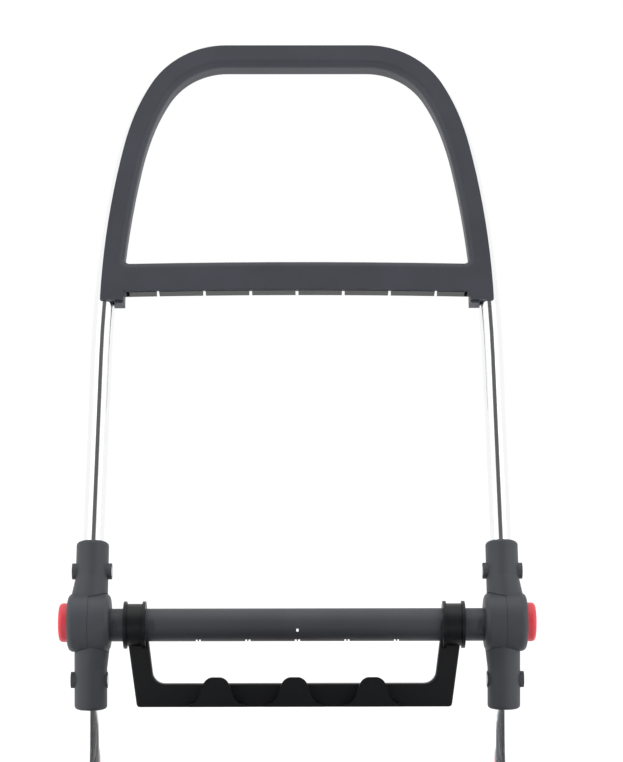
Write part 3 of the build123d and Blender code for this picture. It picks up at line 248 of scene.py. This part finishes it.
FINISHES = {
    "polished_tube": lambda: polished_aluminium("polished tube", (0.93, 0.935, 0.94), 0.07),
    "grip_plastic": lambda: moulded_plastic("grip plastic", (0.042, 0.045, 0.058), 0.5),
    "knuckle_plastic": lambda: moulded_plastic("knuckle plastic", (0.052, 0.057, 0.067), 0.52),
    "crossbar_plastic": lambda: moulded_plastic("crossbar plastic", (0.051, 0.055, 0.064), 0.5),
    "black_plastic": lambda: moulded_plastic("black plastic", (0.012, 0.012, 0.014), 0.45),
    "hanger_plastic": lambda: moulded_plastic("hanger plastic", (0.006, 0.0066, 0.008), 0.4, gloss=0.3),
    "red_button": lambda: moulded_plastic("button plastic", (0.84, 0.06, 0.083), 0.42, relief=0.00001),
    "deck_plastic": lambda: pebbled_plastic("deck plastic", (0.05, 0.053, 0.058), 0.58),
    "tread_rubber": lambda: rubber("tread rubber", (0.018, 0.018, 0.02), 0.8),
    "rim_plastic": lambda: moulded_plastic("rim plastic", (0.26, 0.27, 0.28), 0.5),
    "tyre": lambda: rubber("tyre rubber", (0.016, 0.016, 0.016), 0.78),
    "steel": lambda: plated_steel("plated steel", (0.62, 0.63, 0.65), 0.34),
}


def finish_for(slot):
    """The finish of a material slot, made once."""
    key = "finish " + slot
    if key not in bpy.data.materials:
        material = FINISHES[slot]()
        material.name = key
    return bpy.data.materials[key]


# ---------------------------------------------------------------- settings
class CartStudio(bpy.types.PropertyGroup):
    """Where the camera stands and how bright the studio is."""
    distance: FloatProperty(
        name="Camera distance", description="From the knuckle axis forwards to the camera",
        default=2.6, unit="LENGTH",
    )
    turn: FloatProperty(
        name="Camera turn", description="How far the camera turns right",
        default=math.radians(0.36), subtype="ANGLE",
    )
    roll: FloatProperty(
        name="Camera roll", description="How far the camera rolls clockwise",
        default=math.radians(0.07), subtype="ANGLE",
    )
    rise: FloatProperty(
        name="Camera rise", description="Height above the knuckle axis",
        default=0.274, unit="LENGTH",
    )
    view: FloatProperty(
        name="View height", description="Vertical angle of view",
        default=math.radians(18.9), subtype="ANGLE",
    )
    sky: FloatProperty(name="Sky", description="Brightness of the surroundings", default=1.0)


class CartDetails(bpy.types.PropertyGroup):
    """Sizes of the small pieces that finish the cart."""
    bead: FloatProperty(
        name="Weld bead", description="Half width of a weld bead", default=0.0013, unit="LENGTH",
    )
    # The drive marks are black: painted shade in place of the shade inside the recessed drives.
    drive: FloatProperty(
        name="Cross drive", description="Length of a screw's cross", default=0.0052, unit="LENGTH",
    )
    hexagon: FloatProperty(
        name="Hex drive", description="Radius of a hex socket", default=0.0028, unit="LENGTH",
    )
    eyelet: FloatProperty(
        name="Eyelet", description="Radius of an eyelet's flange", default=0.0078, unit="LENGTH",
    )
    pressed: FloatProperty(
        name="Pressed spring", description="Share of its length that a gear spring keeps when pressed",
        default=0.56,
    )
    ribs: IntProperty(name="Pedal ribs", description="How many ribs the brake pedal has", default=5)


# ---------------------------------------------------------------- shaping helpers
def finished_piece(shape, name, body, slot, smooth=False):
    """Turns a bmesh into an object with its finish, riding on its body."""
    bmesh.ops.remove_doubles(shape, verts=shape.verts, dist=1e-7)
    bmesh.ops.recalc_face_normals(shape, faces=shape.faces)
    for face in shape.faces:
        face.smooth = smooth
    mesh = bpy.data.meshes.new(name)
    shape.to_mesh(mesh)
    shape.free()
    piece = bpy.data.objects.new(name, mesh)
    bpy.context.scene.collection.objects.link(piece)
    mesh.materials.append(finish_for(slot))
    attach(piece, body)
    return piece


def rounded_block(shape, matrix, size, edge):
    """A block with rounded edges, of the given size, set by a matrix."""
    made = bmesh.ops.create_cube(shape, size=1.0, matrix=matrix @ Matrix.Diagonal((*size, 1)))
    edges = list({line for vert in made["verts"] for line in vert.link_edges})
    bmesh.ops.bevel(
        shape, geom=edges, offset=edge, offset_type="OFFSET", segments=2, profile=0.5,
        affect="EDGES", material=-1,
    )


def turned_ring(shape, profile, centre, axis, steps):
    """Spins a closed profile of (radius, height) points all the way round an axis through the centre."""
    turn = Vector((0, 0, 1)).rotation_difference(axis).to_matrix()
    verts = [shape.verts.new(centre + turn @ Vector((radius, 0, height))) for radius, height in profile]
    edges = [shape.edges.new((verts[i], verts[i - 1])) for i in range(len(verts))]
    bmesh.ops.spin(
        shape, geom=verts + edges, cent=centre, axis=axis, dvec=(0, 0, 0), angle=2 * math.pi, steps=steps,
        use_merge=True, use_duplicate=False,
    )


def leaning(point):
    """Places a point of the push handle, given upright about the knuckle axis, in the cart's frame."""
    return KNUCKLE + Matrix.Rotation(-LEAN, 3, "X") @ Vector(point)


class CART_OT_finishes(bpy.types.Operator):
    """Give every frame node the finish of its material slot"""
    bl_idname = "cart.finishes"
    bl_label = "Finishes"

    def execute(self, context):
        for node, thing in frame["nodes"].items():
            thing.data.materials.clear()
            thing.data.materials.append(finish_for(SLOTS[node]))
        return {"FINISHED"}


class CART_OT_weld_beads(bpy.types.Operator):
    """Build the rippled beads that join the cross tubes to the side tubes"""
    bl_idname = "cart.weld_beads"
    bl_label = "Weld beads"

    def execute(self, context):
        bead = context.scene.cart_details.bead
        shape = bmesh.new()
        section = [
            (BEAD_RING + bead * math.cos(turn), bead * math.sin(turn))
            for turn in (math.radians(step * 360 / BEAD_SIDES) for step in range(BEAD_SIDES))
        ]
        for side in (-1, 1):
            for y in WELDED_TUBES:
                before = len(shape.verts)
                centre = Vector((0, y * MM, TUBE_HEIGHT))
                turned_ring(shape, section, centre, Vector((1, 0, 0)), BEAD_STEPS)
                shape.verts.ensure_lookup_table()
                for vert in shape.verts[before:]:
                    rise = vert.co.z - TUBE_HEIGHT
                    angle = math.atan2(rise, vert.co.y - y * MM)
                    reach = TRACK - math.sqrt(max(TUBE_RADIUS ** 2 - rise ** 2, 0.0))
                    ripple = RIPPLE_HEIGHT * math.sin(angle * RIPPLES)
                    vert.co.x = side * (reach - vert.co.x * BEAD_FLATTENING + ripple)
        finished_piece(shape, "weld_beads", "chassis", "steel", True)
        return {"FINISHED"}


class CART_OT_screw_drives(bpy.types.Operator):
    """Build the cross drives of the deck screws and the hex drives of the clamp screws as raised black marks,
    painted shade in place of recesses
    """
    bl_idname = "cart.screw_drives"
    bl_label = "Screw drives"

    def execute(self, context):
        details = context.scene.cart_details
        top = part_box("deck_screws")[1][2]
        shape = bmesh.new()
        for x, y in DECK_SCREWS:
            for side in (-1, 1):
                place = Matrix.Translation((side * x * MM, y * MM, top + CROSS_LIFT))
                for turn in (CROSS_TURN, CROSS_TURN + math.pi / 2):
                    cross = place @ Matrix.Rotation(turn + x, 4, "Z")    # x turns each screw differently
                    # Each cross is a raised black block: painted shade for a recessed drive.
                    rounded_block(shape, cross, (details.drive, CROSS_WIDTH, CROSS_RISE), CROSS_EDGE)
        finished_piece(shape, "deck_screw_drive_shade", "chassis", "black_plastic")
        for name, node, body, rise in (
            ("upper_clamp_drive_shade", "upper_clamp_screws", "upper_handle", UPPER_CLAMP_RISE),
            ("lower_clamp_drive_shade", "lower_clamp_screws", "chassis", LOWER_CLAMP_RISE),
        ):
            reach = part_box(node)[1][0]
            shape = bmesh.new()
            for side in (-1, 1):
                point = (side * reach, 0, rise)
                place = leaning(point) if body == "upper_handle" else KNUCKLE + Vector(point)
                facing = Matrix.Translation(place) @ Matrix.Rotation(side * math.pi / 2, 4, "Y")
                # A raised black hexagon: painted shade for the hex socket's recess.
                made = bmesh.ops.create_circle(
                    shape, cap_ends=True, segments=6, radius=details.hexagon, matrix=facing,
                )
                faces = list({face for vert in made["verts"] for face in vert.link_faces})
                raised = bmesh.ops.extrude_face_region(shape, geom=faces)["geom"]
                lifted = [item for item in raised if isinstance(item, bmesh.types.BMVert)]
                bmesh.ops.translate(shape, verts=lifted, vec=(side * HEX_RISE, 0, 0))
            finished_piece(shape, name, body, "black_plastic")
        return {"FINISHED"}


class CART_OT_eyelets(bpy.types.Operator):
    """Build the flanged eyelets round the tie-down holes"""
    bl_idname = "cart.eyelets"
    bl_label = "Tie-down eyelets"

    def execute(self, context):
        flange = context.scene.cart_details.eyelet
        profile = (
            (EYELET_BORE, -0.0006), (EYELET_BORE, 0.0006), (0.0052, 0.0011),
            (flange - 0.0007, 0.0009), (flange, 0.0004), (flange, 0.0),
        )
        shape = bmesh.new()
        for x, y in LASH_HOLES:
            for side in (-1, 1):
                centre = Vector((side * x * MM, y * MM, DECK_TOP))
                turned_ring(shape, profile, centre, Vector((0, 0, 1)), EYELET_STEPS)
        finished_piece(shape, "tie_down_eyelets", "chassis", "steel", True)
        return {"FINISHED"}


class CART_OT_springs(bpy.types.Operator):
    """Build the gear springs as steel copies of the frame's spring nodes, which are hidden; the copies don't
    shorten when the buttons are pressed
    """
    bl_idname = "cart.springs"
    bl_label = "Gear springs"

    def execute(self, context):
        for side, facing in (("left", -1), ("right", 1)):
            node = "gear_spring_" + side
            shape = bmesh.new()
            shape.from_mesh(frame["nodes"][node].data)
            coil = finished_piece(shape, "gear_coil_" + side, "chassis", "steel", True)
            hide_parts(node)
            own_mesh(coil)
        return {"FINISHED"}


class CART_OT_pedal_ribs(bpy.types.Operator):
    """Build the ribs across the brake pedal's tread"""
    bl_idname = "cart.pedal_ribs"
    bl_label = "Pedal ribs"

    def execute(self, context):
        low, high = (Vector(corner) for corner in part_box("brake_pedal"))
        count = context.scene.cart_details.ribs
        shape = bmesh.new()
        for index in range(count):
            along = low.y + RIB_END + (high.y - low.y - 2 * RIB_END) * index / (count - 1)
            place = Matrix.Translation(((low.x + high.x) / 2, along, high.z + RIB_LIFT))
            size = (high.x - low.x - 2 * RIB_SIDE, RIB_WIDTH, RIB_HEIGHT)
            rounded_block(shape, place, size, RIB_EDGE)
        finished_piece(shape, "pedal_ribs", "brake", "tread_rubber")
        return {"FINISHED"}


class CART_OT_stage(bpy.types.Operator):
    """Build the floor, the soft lights and the camera"""
    bl_idname = "cart.stage"
    bl_label = "Stage"

    def execute(self, context):
        studio = context.scene.cart_studio
        build_floor()
        build_dark_card()
        build_surroundings(studio)
        build_lights()
        build_camera(studio)
        return {"FINISHED"}


def flat_stage(name, size, matrix):
    """A flat square that isn't part of the cart."""
    mesh = bpy.data.meshes.new(name)
    shape = bmesh.new()
    bmesh.ops.create_grid(shape, x_segments=1, y_segments=1, size=size, matrix=matrix)
    shape.to_mesh(mesh)
    shape.free()
    sheet = bpy.data.objects.new(name, mesh)
    bpy.context.scene.collection.objects.link(sheet)
    return sheet


def build_floor():
    """A wide pale floor, a little bright in itself so that it meets the surroundings without a line."""
    floor = flat_stage("floor", FLOOR_HALF_WIDTH, Matrix())
    material, tree, shader = new_material("pale floor")
    cloud = noise(tree, object_coordinates(tree), 0.8, 2.0)
    colour_by(tree, shader, cloud, (0.93, 0.93, 0.93), (0.95, 0.95, 0.95))
    shader.inputs["Roughness"].default_value = 0.9
    shader.inputs["Emission Color"].default_value = (1, 1, 1, 1)
    shader.inputs["Emission Strength"].default_value = 0.16
    floor.data.materials.append(material)


def build_dark_card():
    """A dark card in front of the cart that the bright tubes mirror as a stripe.

    The camera doesn't see it, but it still darkens the floor near it a little.
    """
    place = Matrix.Translation((0, -CARD_DISTANCE, CARD_HALF_HEIGHT)) @ Matrix.Rotation(math.pi / 2, 4, "X")
    place = place @ Matrix.Diagonal((CARD_NARROWING, 1, 1, 1))
    card = flat_stage("dark card", CARD_HALF_HEIGHT, place)
    material, tree, shader = new_material("dark card")
    cloud = noise(tree, object_coordinates(tree), 0.5, 2.0)
    colour_by(tree, shader, cloud, (0.02, 0.02, 0.021), (0.025, 0.025, 0.026))
    shader.inputs["Roughness"].default_value = 0.9
    shader.inputs["Emission Color"].default_value = (1, 1, 1, 1)
    shader.inputs["Emission Strength"].default_value = 0.08
    card.data.materials.append(material)
    card.visible_camera = False


def build_surroundings(studio):
    """White all round, shown as it is."""
    bpy.context.scene.view_settings.view_transform = "Standard"
    world = bpy.data.worlds.new("studio")
    bpy.context.scene.world = world
    world.use_nodes = True
    tree = world.node_tree
    tree.nodes.clear()
    output = tree.nodes.new("ShaderNodeOutputWorld")
    background = tree.nodes.new("ShaderNodeBackground")
    tree.links.new(background.outputs["Background"], output.inputs["Surface"])
    background.inputs["Color"].default_value = (1, 1, 1, 1)
    background.inputs["Strength"].default_value = studio.sky


def build_lights():
    """Two large soft boxes at the sides and one overhead."""
    for name, place, size, power in (
        ("left box", (-2.4, -1.6, 1.8), 1.8, 9.0),
        ("right box", (2.4, -1.6, 1.8), 1.8, 9.0),
        ("top box", (0.0, 0.2, 3.2), 2.4, 12.0),
    ):
        lamp = bpy.data.lights.new(name, "AREA")
        lamp.shape = "SQUARE"
        lamp.size = size
        lamp.energy = power
        thing = bpy.data.objects.new(name, lamp)
        bpy.context.scene.collection.objects.link(thing)
        thing.location = place
        aim = KNUCKLE + Vector((0, 0, LIGHT_AIM_RISE)) - Vector(place)
        thing.rotation_euler = aim.to_track_quat("-Z", "Y").to_euler()


def build_camera(studio):
    """A level camera in front of the cart, looking at its handle."""
    lens = bpy.data.cameras.new("camera")
    lens.sensor_fit = "VERTICAL"
    lens.angle = studio.view
    lens.clip_end = 200.0
    camera = bpy.data.objects.new("camera", lens)
    bpy.context.scene.collection.objects.link(camera)
    camera.location = KNUCKLE + Vector((0, -studio.distance, studio.rise))
    camera.rotation_euler = (math.pi / 2, studio.roll, -studio.turn)
    bpy.context.scene.camera = camera


class CART_PT_panel(bpy.types.Panel):
    """Buttons for the cart's pieces"""
    bl_idname = "CART_PT_panel"
    bl_label = "Folding cart"
    bl_space_type = "VIEW_3D"
    bl_region_type = "UI"
    bl_category = "Cart"

    def draw(self, context):
        for operator in OPERATORS:
            self.layout.operator(operator.bl_idname)


OPERATORS = (
    CART_OT_finishes, CART_OT_weld_beads, CART_OT_screw_drives, CART_OT_eyelets, CART_OT_springs,
    CART_OT_pedal_ribs, CART_OT_stage,
)
CLASSES = (CartStudio, CartDetails, *OPERATORS, CART_PT_panel)


def register():
    for cls in CLASSES:
        bpy.utils.register_class(cls)
    bpy.types.Scene.cart_studio = PointerProperty(type=CartStudio)
    bpy.types.Scene.cart_details = PointerProperty(type=CartDetails)


def unregister():
    del bpy.types.Scene.cart_studio
    del bpy.types.Scene.cart_details
    for cls in reversed(CLASSES):
        bpy.utils.unregister_class(cls)


def main():
    register()
    bpy.ops.cart.finishes()
    bpy.ops.cart.weld_beads()
    bpy.ops.cart.screw_drives()
    bpy.ops.cart.eyelets()
    bpy.ops.cart.springs()
    bpy.ops.cart.pedal_ribs()
    bpy.ops.cart.stage()


if __name__ == "__main__":
    main()
